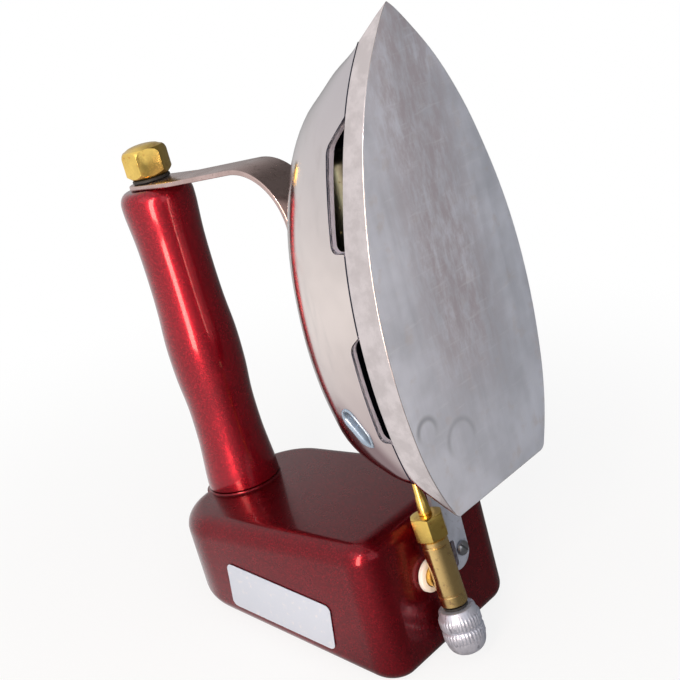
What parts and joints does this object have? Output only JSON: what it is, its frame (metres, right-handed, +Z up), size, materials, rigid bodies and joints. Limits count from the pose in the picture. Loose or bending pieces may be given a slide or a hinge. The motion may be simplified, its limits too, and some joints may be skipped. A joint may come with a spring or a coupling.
{
  "type": "gas-fuelled clothes iron",
  "caption": "Clothes iron heated by a butane burner, standing on its slanted fuel tank with a vertical handle, a strap to the domed hood and a pointed soleplate.",
  "frame": {"origin": "on the table the tank stands on, under the middle of the iron's outline", "axes": "+Z up, +X out of the ironing face, which leans back by about ten degrees, -Y towards the side with the label and the valve"},
  "size_m": [0.1974, 0.0932, 0.2752],
  "materials": {
    "sole_alloy": "brushed",
    "hood_steel": "polished",
    "strap_steel": "polished",
    "plated_steel": "plain plated",
    "brass": "bright",
    "handle_paint": "gloss",
    "tank_paint": "gloss",
    "dark_rubber": "matte",
    "white_nylon": "matte",
    "label_white": "matte",
    "nickel": "satin"
  },
  "bodies": {
    "iron": {"soleplate": "sole_alloy", "hood": "hood_steel", "burner_head": "brass", "mixing_tube": "brass", "burner_post": "plated_steel", "hood_lug_left": "plated_steel", "hood_lug_right": "plated_steel", "hood_lug_screw_left": "plated_steel", "hood_lug_screw_right": "plated_steel", "front_strap": "strap_steel", "strap_rivet_lower": "plated_steel", "strap_rivet_upper": "plated_steel", "handle_grip": "handle_paint", "tie_rod": "plated_steel", "nut_washer": "dark_rubber", "cap_nut": "brass", "fuel_tank": "tank_paint", "blank_label": "label_white", "tank_stub": "brass", "stub_washer": "white_nylon", "valve_body": "brass", "jet_holder": "brass", "jet_nozzle": "brass", "gland_ring": "dark_rubber", "heel_bracket": "plated_steel", "bracket_sole_screw": "plated_steel", "bracket_tank_screw": "plated_steel", "dip_tube": "brass", "filler_body": "brass", "filler_gasket": "dark_rubber", "filler_spring": "plated_steel"},
    "knob": {"valve_knob": "nickel", "valve_stem": "plated_steel"},
    "needle": {"valve_needle": "plated_steel"},
    "filler_pin": {"filler_stem": "brass"}
  },
  "joints": [
    {"name": "knob_turn", "type": "hinge", "parent": "iron", "child": "knob", "pos_m": [0.07258, -0.01056, 0.03899], "axis": [0.2588, 0, -0.9659], "range_deg": [0, 450]},
    {"name": "needle_lift", "type": "slide", "parent": "iron", "child": "needle", "axis": [0.2588, 0, -0.9659], "range_m": [0, 0.0009]},
    {"name": "filler_press", "type": "slide", "parent": "iron", "child": "filler_pin", "axis": [0, -1, 0], "range_m": [0, 0.0018], "stiffness_N_per_m": 300, "springref_m": -0.002, "deforming": ["filler_spring"]}
  ],
  "couplings": [
    {"joint": "needle_lift", "follows": "knob_turn", "m_per_rad": 0.00011141}
  ]
}
